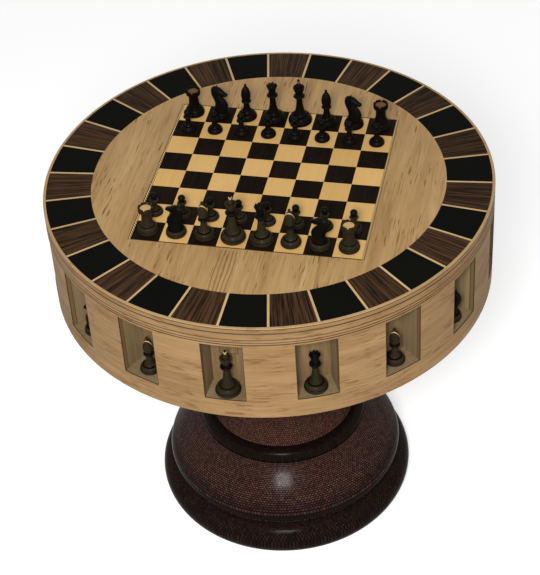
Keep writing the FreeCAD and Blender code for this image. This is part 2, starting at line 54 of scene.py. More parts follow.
class Wire:
    # one output of a node, with arithmetic that adds Math nodes
    def __init__(self, tree, socket=None):
        self.tree = tree
        self.socket = socket

    def make(self, kind, *values, output=0, named=None, **settings):
        # adds any node, fills its inputs by order and by name, gives back one output
        node = self.tree.nodes.new(kind)
        for key, value in settings.items():
            setattr(node, key, value)
        for key, value in list(enumerate(values)) + list((named or {}).items()):
            if isinstance(value, Wire):
                self.tree.links.new(value.socket, node.inputs[key])
            else:
                node.inputs[key].default_value = value
        return Wire(self.tree, node.outputs[output] if node.outputs else None)

    def maths(self, operation, *values):
        return self.make("ShaderNodeMath", *values, operation=operation)

    def __add__(self, other):
        return self.maths("ADD", self, other)

    def __radd__(self, other):
        return self.maths("ADD", other, self)

    def __sub__(self, other):
        return self.maths("SUBTRACT", self, other)

    def __rsub__(self, other):
        return self.maths("SUBTRACT", other, self)

    def __mul__(self, other):
        return self.maths("MULTIPLY", self, other)

    def __rmul__(self, other):
        return self.maths("MULTIPLY", other, self)

    def __truediv__(self, other):
        return self.maths("DIVIDE", self, other)

    def __rtruediv__(self, other):
        return self.maths("DIVIDE", other, self)

    def __neg__(self):
        return self.maths("MULTIPLY", self, -1.0)

    def size(self):
        return self.maths("ABSOLUTE", self)

    def whole(self):
        return self.maths("FLOOR", self)

    def part(self):
        return self.maths("FRACT", self)

    def higher(self, other):
        return self.maths("MAXIMUM", self, other)

    def above(self, limit):
        return self.maths("GREATER_THAN", self, limit)

    def below(self, limit):
        return self.maths("LESS_THAN", self, limit)

    def rise(self, start, end):
        # 0 before start, 1 after end, an S curve between them
        return self.make("ShaderNodeMapRange", self, start, end, 0.0, 1.0, interpolation_type="SMOOTHSTEP")

    def line(self, middle, half, soft):
        # 1 within half of middle, fading to 0 over soft
        return 1.0 - (self - middle).size().rise(half, half + soft)

    def held(self):
        # kept between 0 and 1
        return self.make("ShaderNodeClamp", self)

    def blend(self, first, second):
        # first colour where this is 0, second where it is 1
        return self.make("ShaderNodeMix", output=2, named={0: self, 6: first, 7: second}, data_type="RGBA")

    def tint(self, colour, factor):
        # colour times a grey factor
        return self.make("ShaderNodeMix", output=2, named={0: 1.0, 6: colour, 7: factor}, data_type="RGBA",
                         blend_type="MULTIPLY")

    def vector(self, x, y, z):
        return self.make("ShaderNodeCombineXYZ", x, y, z)

    def parts(self):
        return [self.make("ShaderNodeSeparateXYZ", self, output=index) for index in range(3)]

    def noise(self, vector, detail):
        return self.make("ShaderNodeTexNoise", named={"Vector": vector, "Scale": 1.0, "Detail": detail})

    def chance(self, vector):
        # one steady random number for each whole-numbered place
        return self.make("ShaderNodeTexWhiteNoise", vector, noise_dimensions="3D")


def startMaterial(name):
    # an empty material, and the wire that adds nodes to it
    material = bpy.data.materials.new(name)
    material.use_nodes = True
    material.node_tree.nodes.clear()
    return material, Wire(material.node_tree)


def objectPlace(root):
    # the three coordinates in metres, which stay with a piece when it moves
    return root.make("ShaderNodeTexCoord", output=3).parts()


def finishMaterial(material, root, colour, roughness, height, depth, **fixed):
    # the relief is height times depth; fixed holds values set on the shader's own sockets, by name with
    # spaces for underscores
    relief = root.make("ShaderNodeBump", named={"Strength": 1.0, "Distance": depth, "Height": height})
    named = {"Base Color": colour, "Roughness": roughness, "Normal": relief}
    for key, value in fixed.items():
        named[key.replace("_", " ")] = value
    shader = root.make("ShaderNodeBsdfPrincipled", named=named)
    root.make("ShaderNodeOutputMaterial", shader)
    return material


def finishWood(material, root, wood, colour, varied, spread, height):
    # roughness: the wood's own + (varied - 0.5) * spread
    rough = wood["roughness"] + (varied - 0.5) * spread
    return finishMaterial(material, root, colour, rough, height, wood["bump"],
                          Specular_IOR_Level=wood["gloss"])


def turnAngle(root, x, y):
    # angle about the table's axis in turns, 0 at -Y, growing towards +X
    return root.maths("ARCTAN2", x, -y) / (2 * math.pi)


def reach(root, x, y):
    # distance from the table's axis
    return root.maths("SQRT", x * x + y * y)


# Each layer of grain: cells per metre across it, cells per metre along it, weight. Veins also have the
# cells per metre of their patches.
woods = {
    "panel": {"light": (187, 153, 103), "dark": (146, 111, 66), "cloud": (24, 2.4, 0.26),
              "streak": (150, 7, 0.26), "pore": (700, 26, 0.18), "vein": (260, 12, 14, 0.34),
              "roughness": 0.46, "bump": 0.00008, "gloss": 0.2},
    "drum": {"light": (168, 135, 91), "dark": (123, 89, 52), "cloud": (30, 5, 0.22),
             "streak": (130, 10, 0.20), "pore": (700, 30, 0.16), "vein": (330, 34, 20, 0.60),
             "roughness": 0.5, "bump": 0.0001, "gloss": 0.2},
    "nicheBack": {"light": (142, 116, 82), "dark": (102, 80, 52), "cloud": (22, 5, 0.28),
                  "streak": (180, 8, 0.34), "pore": (900, 40, 0.18), "vein": (200, 6, 20, 0.2),
                  "roughness": 0.55, "bump": 0.0001, "gloss": 0.15},
    "lightSquare": {"light": (219, 177, 108), "dark": (192, 150, 88), "cloud": (12, 6, 0.16),
                    "streak": (260, 10, 0.12), "pore": (1400, 60, 0.08), "vein": (300, 8, 20, 0.1),
                    "roughness": 0.42, "bump": 0.00005, "gloss": 0.2},
    "darkSquare": {"light": (31, 23, 16), "dark": (13, 9, 6), "cloud": (16, 6, 0.25),
                   "streak": (420, 12, 0.4), "pore": (1600, 60, 0.2), "vein": (300, 8, 20, 0.1),
                   "roughness": 0.4, "bump": 0.00006, "gloss": 0.01},
    "blackSegment": {"light": (14, 14, 11), "dark": (9, 9, 7), "cloud": (16, 6, 0.2),
                     "streak": (500, 9, 0.2), "pore": (1600, 50, 0.1), "vein": (300, 8, 20, 0.1),
                     "roughness": 0.4, "bump": 0.00003, "gloss": 0.01},
    "brownSegment": {"light": (72, 50, 31), "dark": (18, 12, 8), "cloud": (16, 6, 0.1),
                     "streak": (380, 10, 1.1), "pore": (1200, 30, 0.4), "vein": (460, 16, 30, 0.3),
                     "roughness": 0.45, "bump": 0.00008, "gloss": 0.03},
    "paleStrip": {"light": (203, 171, 121), "dark": (170, 138, 92), "cloud": (20, 8, 0.2),
                  "streak": (400, 20, 0.3), "pore": (1500, 60, 0.2), "vein": (300, 8, 20, 0.1),
                  "roughness": 0.42, "bump": 0.00005, "gloss": 0.2},
    "plainBoard": {"light": (176, 146, 106), "dark": (138, 110, 76), "cloud": (9, 3, 0.3),
                   "streak": (120, 5, 0.4), "pore": (700, 24, 0.2), "vein": (200, 4, 12, 0.2),
                   "roughness": 0.6, "bump": 0.0001, "gloss": 0.2},
}


def grainPlace(root, frameWires, across, along):
    # a point in grain cells: each wire is marked True where it runs across the grain
    return root.vector(*[wire * (across if crosses else along) for wire, crosses in frameWires])


def woodLayers(root, frameWires, wood):
    # shade from 0 to 1: three noises about 0.5, each times its weight, added up, and dark veins in patches
    shade = None
    for layer, detail in (("cloud", 2.0), ("streak", 3.0), ("pore", 1.0)):
        across, along, weight = wood[layer]
        wave = (root.noise(grainPlace(root, frameWires, across, along), detail) - 0.5) * (weight * 4)
        shade = wave + 0.5 if shade is None else shade + wave
    across, along, patch, weight = wood["vein"]
    veins = root.noise(grainPlace(root, frameWires, across, along), 2.0).rise(0.52, 0.66)
    patches = root.noise(grainPlace(root, frameWires, patch, along * 0.6), 1.0).rise(0.46, 0.6)
    return (shade + veins * patches * weight).held()


def woodColour(shade, wood):
    # light tone where the shade is 0, dark tone where it is 1
    return shade.blend(tone(*wood["light"]), tone(*wood["dark"]))


def simpleWood(name, wood, framing):
    # framing gives the three coordinates and which of them run across the grain
    material, root = startMaterial(name)
    shade = woodLayers(root, framing(root), wood)
    return finishWood(material, root, wood, woodColour(shade, wood), shade, 0.12, -shade)


def grainAlongY(root):
    x, y, z = objectPlace(root)
    return [(x, True), (y, False), (z, True)]


def grainRound(root):
    x, y, z = objectPlace(root)
    return [(x, False), (y, False), (z, True)]


def grainUpright(root):
    x, y, z = objectPlace(root)
    return [(x, True), (y, True), (z, False)]


strokes = {"across": 340, "along": 26, "patch": 20, "amount": 0.85, "tone": (104, 70, 36),
           "linePitch": 0.007, "linesFrom": -0.043, "linesTo": -0.003, "linesBefore": -0.206,
           "frameAcross": 0.2047, "frameAlong": 0.2022, "frameTone": (52, 27, 20)}


def panelMaterial():
    # plain oak with short dark strokes along the grain and one group of parallel growth lines in front
    material, root = startMaterial("panelVeneer")
    x, y, z = objectPlace(root)
    wood = woods["panel"]
    shade = woodLayers(root, grainAlongY(root), wood)
    short = root.noise(root.vector(x * strokes["across"], y * strokes["along"], z), 1.0).rise(0.60, 0.70)
    patchPlace = root.vector(x * strokes["patch"], y * strokes["patch"] * 0.6, 7.0)
    patch = root.noise(patchPlace, 2.0).rise(0.46, 0.58)
    wander = (root.noise(root.vector(x * 30.0, y * 18.0, 3.0), 2.0) - 0.5) * 0.006
    lines = ((x + wander) / strokes["linePitch"]).part().line(0.5, 0.1, 0.14)
    group = x.rise(strokes["linesFrom"], strokes["linesFrom"] + 0.004)
    group = group * (1.0 - x.rise(strokes["linesTo"] - 0.004, strokes["linesTo"]))
    group = group * (1.0 - y.rise(strokes["linesBefore"] - 0.004, strokes["linesBefore"]))
    mark = (short * patch * strokes["amount"]).higher(lines * group * 0.6)
    colour = mark.blend(woodColour(shade, wood), tone(*strokes["tone"]))
    frameLine = x.size().below(strokes["frameAcross"]) * y.size().below(strokes["frameAlong"])
    colour = frameLine.blend(colour, tone(*strokes["frameTone"]))
    return finishWood(material, root, wood, colour, shade, 0.12, -shade - mark)


board = {"squareSide": 0.05, "half": 0.2, "toneSpread": 0.20}
ring = {"segments": 30, "turn": -0.5 / 360, "middle": 0.355, "toneSpread": 0.3}


def squareWood(name, wood):
    # each square has its own tone and its own piece of grain
    material, root = startMaterial(name)
    x, y, z = objectPlace(root)
    column = ((x + board["half"]) / board["squareSide"]).whole()
    row = ((y + board["half"]) / board["squareSide"]).whole()
    luck = root.chance(root.vector(column, row, 3.0))
    framing = [(x + column * 0.37, True), (y + row * 0.51, False), (z + luck * 3.0, True)]
    shade = (woodLayers(root, framing, wood) + (luck - 0.5) * board["toneSpread"] * 2).held()
    return finishWood(material, root, wood, woodColour(shade, wood), luck, 0.08, -shade)


def segmentWood(name, wood):
    # streaks run out from the middle: the place is (cos, sin) of the bearing at the ring's middle
    # radius, and the radius
    material, root = startMaterial(name)
    x, y = objectPlace(root)[:2]
    radius = reach(root, x, y)
    number = ((turnAngle(root, x, y) - ring["turn"]) * ring["segments"]).whole()
    luck = root.chance(root.vector(number, 5.0, 1.0))
    framing = [(x / radius * ring["middle"], True), (y / radius * ring["middle"], True),
               (radius + luck * 2.0, False)]
    shade = (woodLayers(root, framing, wood) + (luck - 0.5) * ring["toneSpread"]).held()
    return finishWood(material, root, wood, woodColour(shade, wood), luck, 0.06, -shade)


stringing = {"pale": (222, 188, 124), "dash": (38, 22, 14), "edge": (74, 42, 26),
             "endLine": (48, 24, 18), "endDeep": (36, 20, 16), "roughness": 0.42, "gloss": 0.1,
             "pitch": 0.0068, "slant": 2.2, "sideMiddle": 0.202, "sideHalf": 0.002, "bump": 0.00004}


def stringMaterial():
    # side strips carry slanting dashes between two red-brown lines, end strips are one dark line
    material, root = startMaterial("ropeStringing")
    x, y, z = objectPlace(root)
    across = x.size() - stringing["sideMiddle"]
    slanted = ((y - across * stringing["slant"]) / stringing["pitch"]).part()
    dash = slanted.line(0.5, 0.2, 0.08)
    edge = across.size().rise(stringing["sideHalf"] - 0.0006, stringing["sideHalf"] - 0.0003)
    colour = dash.blend(tone(*stringing["pale"]), tone(*stringing["dash"]))
    colour = edge.blend(colour, tone(*stringing["edge"]))
    grit = root.noise(root.vector(x * 900.0, y * 300.0, z * 900.0), 2.0)
    onSide = x.size().above(0.2)
    line = grit.blend(tone(*stringing["endLine"]), tone(*stringing["endDeep"]))
    rough = stringing["roughness"] + (grit - 0.5) * 0.1
    return finishMaterial(material, root, onSide.blend(line, colour), rough, dash, stringing["bump"],
                          Specular_IOR_Level=stringing["gloss"])


# joints are pairs of height and half thickness, and outside is the radius past which the veneer starts
drum = {"outside": 0.3994, "stripDepth": 0.0075, "rimStart": 0.6902,
        "joints": ((0.7278, 0.0006), (0.7188, 0.0011), (0.7054, 0.0007), (0.6992, 0.0007),
                   (0.6944, 0.0008)),
        "nicheHalf": 0.035, "niches": 16, "nicheFloor": 0.5676, "nicheTop": 0.69,
        "lineSoft": 0.0002, "sillHalf": 0.0004, "outlineHalf": 0.0005, "lip": (0.7288, 0.7292),
        "jointTone": (48, 29, 17), "lipTone": (206, 176, 128), "fleckTone": (96, 68, 42),
        "stripTone": (104, 82, 52), "sideTone": (124, 104, 74), "floorTone": (124, 104, 76),
        "seamTone": (34, 23, 15)}


def nicheOffset(root, x, y):
    # how far round the rim a point is from the middle of its niche, in metres
    turn = turnAngle(root, x, y) * drum["niches"] + 0.5
    return (turn.part() - 0.5) * (2 * math.pi / drum["niches"]) * reach(root, x, y)


def drumMaterial():
    # veneer outside with dark joint lines, darker boards inside the niches
    material, root = startMaterial("drumVeneer")
    x, y, z = objectPlace(root)
    radius = reach(root, x, y)
    wood = woods["drum"]
    shade = woodLayers(root, grainRound(root), wood)
    flecks = root.noise(root.vector(x * 60.0, y * 60.0, z * 900.0), 2.0).rise(0.64, 0.76) * 0.3
    outer = flecks.blend(woodColour(shade, wood), tone(*drum["fleckTone"]))
    offset = nicheOffset(root, x, y).size()
    low, high, half, soft = (drum[key] for key in ("nicheFloor", "nicheTop", "nicheHalf", "lineSoft"))
    inNiche = z.rise(low - soft, low) * (1.0 - z.rise(high, high + soft))
    sill = z.line(low - soft, drum["sillHalf"], soft) * offset.below(half)
    joint = (offset.line(half + 0.0004, drum["outlineHalf"], soft) * inNiche).higher(sill)
    for level, thick in drum["joints"]:
        joint = joint.higher(z.line(level, thick, 0.00025))
    outer = (z.rise(*drum["lip"]) * 0.3).blend(outer, tone(*drum["lipTone"]))
    outer = (joint * 0.92).blend(outer, tone(*drum["jointTone"]))
    inner = woodLayers(root, grainUpright(root), woods["nicheBack"]) * 0.5 + 0.75
    grey = root.make("ShaderNodeCombineColor", inner, inner, inner)
    onFloor = z.below(low + 0.0003)
    sideColour = inner.tint(onFloor.blend(tone(*drum["sideTone"]), tone(*drum["floorTone"])), grey)
    strip = (radius - drum["outside"]).size().rise(drum["stripDepth"], drum["stripDepth"] + 0.0004)
    stripColour = strip.higher(onFloor).blend(tone(*drum["stripTone"]), sideColour)
    seam = radius.line(drum["outside"] - drum["stripDepth"], 0.0004, 0.0003) * (1.0 - onFloor)
    edge = radius.rise(drum["outside"] - 0.0012, drum["outside"] - 0.0008)
    corner = offset.rise(half - 0.0006, half - 0.0003) * onFloor
    insideLine = (seam * 0.7).higher(edge * 0.85).higher(corner * 0.7)
    insideColour = insideLine.blend(stripColour, tone(*drum["seamTone"]))
    outside = radius.above(drum["outside"]).higher(z.above(drum["rimStart"]))
    colour = outside.blend(insideColour, outer)
    return finishWood(material, root, wood, colour, shade, 0.12, -shade - joint)


nicheBack = {"aside": 0.0152, "outlineLow": 0.631, "outlineHigh": 0.655, "lineHalf": 0.0006,
             "lineTone": (70, 46, 28)}


def nicheBackMaterial():
    # upright grain, and a thin dark outline behind the kings
    material, root = startMaterial("nicheBackVeneer")
    x, y, z = objectPlace(root)
    wood = woods["nicheBack"]
    shade = woodLayers(root, grainUpright(root), wood)
    turn = turnAngle(root, x, y) * 2.0
    offset = (((turn + 0.5).part() - 0.5) * math.pi * reach(root, x, y)).size()
    low, high, half = nicheBack["outlineLow"], nicheBack["outlineHigh"], nicheBack["lineHalf"]
    upright = offset.line(nicheBack["aside"], half, 0.0004) * z.rise(low - 0.001, low)
    upright = upright * (1.0 - z.rise(high, high + 0.001))
    level = z.line(low, half, 0.0004) * offset.below(nicheBack["aside"])
    mark = upright.higher(level) * 0.75
    colour = mark.blend(woodColour(shade, wood), tone(*nicheBack["lineTone"]))
    return finishWood(material, root, wood, colour, shade, 0.1, -shade)


pedestal = {
    "bore": 8.5, "wellRadius": 22, "wellDepth": 26,
    "footStart": (238, 0), "crease": (222, 62), "footReach": 248,
    "domeEdge": (222, 103), "domeEdgeReach": 229, "domeEnd": (161, 166), "domeSwell": 6.2,
    "stemStart": (139.5, 189.5), "beadSwell": 1.15,
    "stemEnd": (121, 516), "stemReach": 86, "headRadius": 126, "headTop": 536,
    # paintedShadeEdge: radii over which painted shade darkens the dome's lower edge and the foot
    "turns": 180, "dashes": 225, "roughness": 0.15, "paintedShadeEdge": (0.210, 0.224),
    "speckled": {"dash": (98, 66, 55), "ground": (24, 14, 11), "wide": 0.3, "long": 0.2, "gloss": 0.04,
                 "pitch": 0.0026, "climb": 0.0},
    "stem": {"dash": (106, 70, 57), "ground": (36, 20, 17), "wide": 0.22, "long": 0.3, "gloss": 0.03,
             "pitch": 0.0056, "climb": 1.0},
    "black": {"dash": (62, 42, 34), "ground": (17, 10, 8), "wide": 0.26, "long": 0.42, "gloss": 0.02,
              "pitch": 0.0026, "climb": 0.0},
    "bead": {"dash": (34, 23, 18), "ground": (10, 6, 4), "wide": 0.22, "long": 0.4, "gloss": 0.03,
             "pitch": 0.0026, "climb": 0.0},
}


def arcThrough(start, end, reachRadius, count=40):
    # circular arc from start to end whose middle lies at the turning radius reachRadius
    start, end = np.array(start, float), np.array(end, float)
    chord = end - start
    half = np.linalg.norm(chord) / 2
    middle = (start + end) / 2
    bulge = reachRadius - middle[0]
    outward = np.array([chord[1], -chord[0]]) / (2 * half)
    radius = (half * half + bulge * bulge) / (2 * bulge)
    spread = math.asin(min(1.0, half / abs(radius)))
    angles = np.linspace(-spread, spread, count)
    along = chord / (2 * half)
    centre = middle + outward * (bulge - radius)
    return (centre + np.outer(np.sin(angles) * abs(radius), along)
            + np.outer(np.cos(angles) * radius, outward))


def swollenArc(start, end, factor, count=30):
    # circular arc that bows outwards, its radius factor times half the chord
    start, end = np.array(start, float), np.array(end, float)
    half = np.linalg.norm(end - start) / 2
    radius = half * factor
    outward = np.array([end[1] - start[1], start[0] - end[0]]) / (2 * half)
    rise = radius - math.sqrt(radius * radius - half * half)
    spread = math.asin(half / radius)
    angles = np.linspace(-spread, spread, count)
    centre = (start + end) / 2 + outward * (rise - radius)
    along = (end - start) / (2 * half)
    return centre + radius * (np.outer(np.sin(angles), along) + np.outer(np.cos(angles), outward))


def bend(start, control, end, count=12):
    # quadratic curve: (1-t)^2 start + 2t(1-t) control + t^2 end
    t = np.linspace(0, 1, count)[:, None]
    start, control, end = (np.array(spot, float) for spot in (start, control, end))
    return (1 - t) ** 2 * start + 2 * t * (1 - t) * control + t**2 * end


def straight(start, end, count=2):
    # evenly spaced points on a line
    return np.linspace(np.array(start, float), np.array(end, float), count)


def oval(middle, halfWide, halfTall, fromAngle, toAngle, count=16):
    # part of an ellipse, angles in degrees from the outward direction
    angles = np.radians(np.linspace(fromAngle, toAngle, count))
    arc = np.stack([halfWide * np.cos(angles), halfTall * np.sin(angles)], axis=1)
    return np.array(middle, float) + arc


def softened(corners, count=5):
    # outline with each corner (radius, height, softness) rounded by a quadratic curve that starts and
    # ends softness away from it
    spots = np.array([corner[:2] for corner in corners], float)
    pieces = []
    for index, corner in enumerate(corners):
        soft = corner[2] if len(corner) > 2 else 0
        if soft == 0 or index in (0, len(corners) - 1):
            pieces.append(spots[index : index + 1])
            continue
        back = spots[index - 1] - spots[index]
        ahead = spots[index + 1] - spots[index]
        back = back / np.linalg.norm(back) * min(soft, np.linalg.norm(back) / 2)
        ahead = ahead / np.linalg.norm(ahead) * min(soft, np.linalg.norm(ahead) / 2)
        pieces.append(bend(spots[index] + back, spots[index], spots[index] + ahead, count))
    return np.concatenate(pieces)


# a vertex's inlay value says what its wood is, its black value also painted shade in grooves and creases; a
# bishop's mitre has those between pale and plain too
paleInlay, plainWood, stainedAndShadedWood = 0.0, 9.0, 12.0


def tubeSurface(grid, loop=False, poles=(None, None), inlay=plainWood):
    # closed surface over a grid of rows by columns, its columns joined round. Rows are joined end to
    # end where loop is set, and otherwise each end is closed by a pole point.
    # Row and column give u = column / columns and v = length along the first column.
    rows, columns = grid.shape[:2]
    points = grid.reshape(-1, 3)
    steps = np.linalg.norm(np.diff(grid[:, 0], axis=0), axis=1)
    lengths = np.concatenate([[0], np.cumsum(steps)])
    closing = lengths[-1] + np.linalg.norm(grid[0, 0] - grid[-1, 0])
    spans = rows if loop else rows - 1
    row, column = np.meshgrid(np.arange(spans), np.arange(columns), indexing="ij")
    nextRow, nextColumn = (row + 1) % rows, (column + 1) % columns
    corners = np.stack([row * columns + column, row * columns + nextColumn,
                        nextRow * columns + nextColumn, nextRow * columns + column], axis=-1).reshape(-1, 4)
    high = np.append(lengths, closing)[row + 1]
    u = np.stack([column, column + 1, column + 1, column], axis=-1) / columns
    v = np.stack([lengths[row], lengths[row], high, high], axis=-1)
    loops, sizes = [corners.reshape(-1)], [np.full(len(corners), 4)]
    uv = [np.stack([u, v], axis=-1).reshape(-1, 2)]
    extra = [np.broadcast_to(inlay, (rows, columns)).reshape(-1)]
    ring = np.arange(columns)
    for end, pole in enumerate(poles):
        if loop or pole is None:
            continue
        base = 0 if end == 0 else (rows - 1) * columns
        tip = np.full(columns, len(points))
        points = np.concatenate([points, np.array([pole], float)])
        extra.append(extra[0][base : base + 1])
        after = base + (ring + 1) % columns
        fan = np.stack([tip, after, base + ring] if end == 0 else [base + ring, after, tip], axis=-1)
        loops.append(fan.reshape(-1))
        sizes.append(np.full(columns, 3))
        level = 0.0 if end == 0 else closing
        near = lengths[0] if end == 0 else lengths[-1]
        half = ring + 0.5
        u = np.stack([half, ring + 1, ring] if end == 0 else [ring, ring + 1, half], axis=-1) / columns
        v = np.broadcast_to([level, near, near] if end == 0 else [near, near, level], u.shape)
        uv.append(np.stack([u, v], axis=-1).reshape(-1, 2))
    return {"points": points, "loops": np.concatenate(loops), "sizes": np.concatenate(sizes),
            "uv": np.concatenate(uv), "inlay": np.concatenate(extra)}


def turnedGrid(profile, turns):
    # points (r cos a, r sin a, z) for each profile point and each angle
    angles = np.asarray(turns) if np.ndim(turns) else np.arange(turns) * 2 * math.pi / turns
    radius, height = profile[:, :1], profile[:, 1:]
    return np.stack([radius * np.cos(angles), radius * np.sin(angles), height + 0 * angles], axis=-1)


def turnedSurface(profile, turns, loop=False, warp=None, inlay=plainWood):
    # surface of revolution; an end on the axis becomes a pole
    poles = [None, None]
    if not loop:
        if profile[0, 0] < 1e-9:
            poles[0], profile = (0, 0, profile[0, 1]), profile[1:]
        if profile[-1, 0] < 1e-9:
            poles[1], profile = (0, 0, profile[-1, 1]), profile[:-1]
    grid = turnedGrid(profile, turns)
    if warp is not None:
        grid = warp(grid)
    if callable(inlay):
        inlay = inlay(grid)
    return tubeSurface(grid, loop, poles, inlay)


def joined(surfaces):
    # one surface from several, each one's point numbers shifted past those before it
    shifts = np.cumsum([0] + [len(surface["points"]) for surface in surfaces[:-1]])
    kept = ("points", "sizes", "uv", "inlay")
    whole = {key: np.concatenate([surface[key] for surface in surfaces]) for key in kept}
    shifted = [surface["loops"] + shift for surface, shift in zip(surfaces, shifts)]
    return {**whole, "loops": np.concatenate(shifted)}


def placed(surface, x=0, y=0, z=0, turn=0):
    # the surface turned about Z, then moved
    cosine, sine = math.cos(math.radians(turn)), math.sin(math.radians(turn))
    spin = np.array([[cosine, -sine, 0], [sine, cosine, 0], [0, 0, 1]])
    return {**surface, "points": surface["points"] @ spin.T + (x, y, z)}


sharpFrom = 40  # edges that turn by more degrees than this stay sharp


def makePiece(name, surface, material, body, node):
    # puts a surface in millimetres into a mesh in metres
    mesh = bpy.data.meshes.new(name)
    mesh.vertices.add(len(surface["points"]))
    mesh.vertices.foreach_set("co", (surface["points"] * mm).ravel())
    mesh.loops.add(len(surface["loops"]))
    mesh.loops.foreach_set("vertex_index", surface["loops"].astype(np.int32))
    mesh.polygons.add(len(surface["sizes"]))
    starts = np.concatenate([[0], np.cumsum(surface["sizes"])[:-1]])
    mesh.polygons.foreach_set("loop_start", starts.astype(np.int32))
    mesh.update(calc_edges=True)
    mesh.uv_layers.new(name="turning").data.foreach_set("uv", (surface["uv"] * (1, mm)).ravel())
    inlay = mesh.attributes.new("inlay", "FLOAT", "POINT")
    inlay.data.foreach_set("value", surface["inlay"].astype(np.float32))
    mesh.shade_smooth()
    mesh.set_sharp_from_angle(angle=math.radians(sharpFrom))
    mesh.materials.append(material)
    piece = bpy.data.objects.new(name, mesh)
    bpy.context.scene.collection.objects.link(piece)
    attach(piece, body)
    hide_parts(node)


def pedestalMaterial(name, tones):
    # short pale dashes set like bricks: a dash for each step of the bearing, a row for each step of
    # radius - climb * height, so that they draw out into upright streaks where climb is 0 and the
    # turning is steep
    material, root = startMaterial(name)
    x, y, z = objectPlace(root)
    radius = reach(root, x, y)
    fall = radius - z * tones["climb"]
    row = fall / tones["pitch"]
    place = turnAngle(root, x, y) * pedestal["dashes"] + (row.whole() * 0.5).part()
    luck = root.chance(root.vector(place.whole(), row.whole(), 2.0))
    dash = place.part().line(0.5, tones["wide"], 0.12) * row.part().line(0.5, tones["long"], 0.14)
    dash = dash * (luck * 0.7 + 0.45)
    streakPlace = root.vector(x / radius * 70.0, y / radius * 70.0, fall * 160.0)
    streak = root.noise(streakPlace, 2.0).rise(0.36, 0.62)
    cloud = root.noise(root.vector(x * 9.0, y * 9.0, z * 14.0), 3.0).rise(0.3, 0.7)
    # painted shade: past these radii the dome's rolled-under lower edge and the foot are darker and carry
    # fewer pale dashes
    edge = radius.rise(*pedestal["paintedShadeEdge"]) * 0.5
    amount = dash * (streak * 0.6 + 0.4) * (1.0 - edge)
    deep = tone(*[level * 0.55 for level in tones["ground"]])
    ground = (cloud * 0.4 + edge).blend(tone(*tones["ground"]), deep)
    colour = amount.held().blend(ground, tone(*tones["dash"]))
    rough = pedestal["roughness"] + (streak - 0.5) * 0.1
    return finishMaterial(material, root, colour, rough, dash, 0.00006, Specular_IOR_Level=tones["gloss"])


def makePedestal():
    # four turned rings about the rod's bore, each a closed outline of radius and height, stacked
    speckled = pedestalMaterial("pedestalDomeWood", pedestal["speckled"])
    upright = pedestalMaterial("pedestalStemWood", pedestal["stem"])
    dark = pedestalMaterial("pedestalFootWood", pedestal["black"])
    blackest = pedestalMaterial("pedestalBeadWood", pedestal["bead"])
    bore, well, depth = pedestal["bore"], pedestal["wellRadius"], pedestal["wellDepth"]
    crease, top = pedestal["crease"], pedestal["crease"][1]
    shelf, ledge = pedestal["domeEnd"][1], pedestal["stemStart"][1]
    foot = np.concatenate([
        straight((bore, top), (bore, depth), 3), straight((well, depth), (well, 0)),
        straight((60, 0), (236, 0), 4),
        arcThrough(pedestal["footStart"], crease, pedestal["footReach"], 48),
        straight((200, top), (60, top), 3)])
    dome = np.concatenate([
        straight((bore, shelf), (bore, top)), straight((60, top), (215, top), 3),
        arcThrough(crease, pedestal["domeEdge"], pedestal["domeEdgeReach"], 26)[:-1],
        swollenArc(pedestal["domeEdge"], pedestal["domeEnd"], pedestal["domeSwell"], 30),
        straight((140, shelf), (40, shelf), 3)])
    bead = np.concatenate([
        straight((bore, ledge), (bore, shelf)), straight((60, shelf), (150, shelf)),
        swollenArc(pedestal["domeEnd"], pedestal["stemStart"], pedestal["beadSwell"], 28),
        straight((120, ledge), (40, ledge), 3)])
    head, tall, stemEnd = pedestal["headRadius"], pedestal["headTop"], pedestal["stemEnd"]
    stem = np.concatenate([
        straight((bore, tall), (bore, ledge)), straight((60, ledge), (130, ledge)),
        arcThrough(pedestal["stemStart"], stemEnd, pedestal["stemReach"], 60),
        softened([stemEnd, (head, stemEnd[1], 0.8), (head, tall, 1.0), (60, tall)]),
        straight((50, tall), (30, tall))])
    plan = [("pedestalFoot", foot, dark, "pedestal_foot", "pedestal_black"),
            ("pedestalDome", dome, speckled, "pedestal_dome", "pedestal_speckled"),
            ("pedestalBead", bead, blackest, "pedestal_bead", "pedestal_black"),
            ("pedestalStem", stem, upright, "pedestal_stem", "pedestal_speckled")]
    for name, outline, material, node, slotName in plan:
        surface = turnedSurface(outline, pedestal["turns"], loop=True)
        makePiece(name, surface, material, "table", node)


# foot radius, foot height, crease radius, neck radius and the height where the stem has narrowed to it,
# collar radius and height, whole height
menSizes = {
    "king": {"foot": 22, "rise": 15, "crease": 13.4, "neck": 5.4, "neckAt": 46, "collar": 10.6, "at": 56.5,
             "tall": 92.5},
    "queen": {"foot": 20.6, "rise": 14, "crease": 12.9, "neck": 5.4, "neckAt": 42, "collar": 10.3,
              "at": 54, "tall": 81},
    "bishop": {"foot": 18.1, "rise": 12, "crease": 11.4, "neck": 5.1, "neckAt": 31, "collar": 9.2,
               "at": 37, "tall": 74},
    "pawn": {"foot": 14.2, "rise": 9.2, "crease": 8.9, "neck": 4.2, "neckAt": 23, "collar": 8, "at": 28,
             "tall": 43.5},
    "rook": {"foot": 18.3, "rise": 14.2, "crease": 11.9, "neck": 8.9, "neckAt": 35, "tall": 52.5},
    "knight": {"foot": 18.1, "rise": 12, "crease": 13.2, "tall": 65},
}
menShape = {
    "turns": 48, "collarHalf": 2.8, "pawnBall": 6.4,
    "kingNotches": 8, "kingNotchDepth": 1.6, "kingCrown": 10.4, "kingRim": 76.6,
    "queenPoints": 9, "queenCrown": 10.2, "queenRim": 75.6,
    "rookCrown": 13.4, "rookWell": 10.2, "rookWellDepth": 3.2, "rookNotches": 6, "rookNotchHalf": 8.2,
    "cutLevel": 56.4, "cutSlope": 2.9, "cutHalf": 0.66,
}


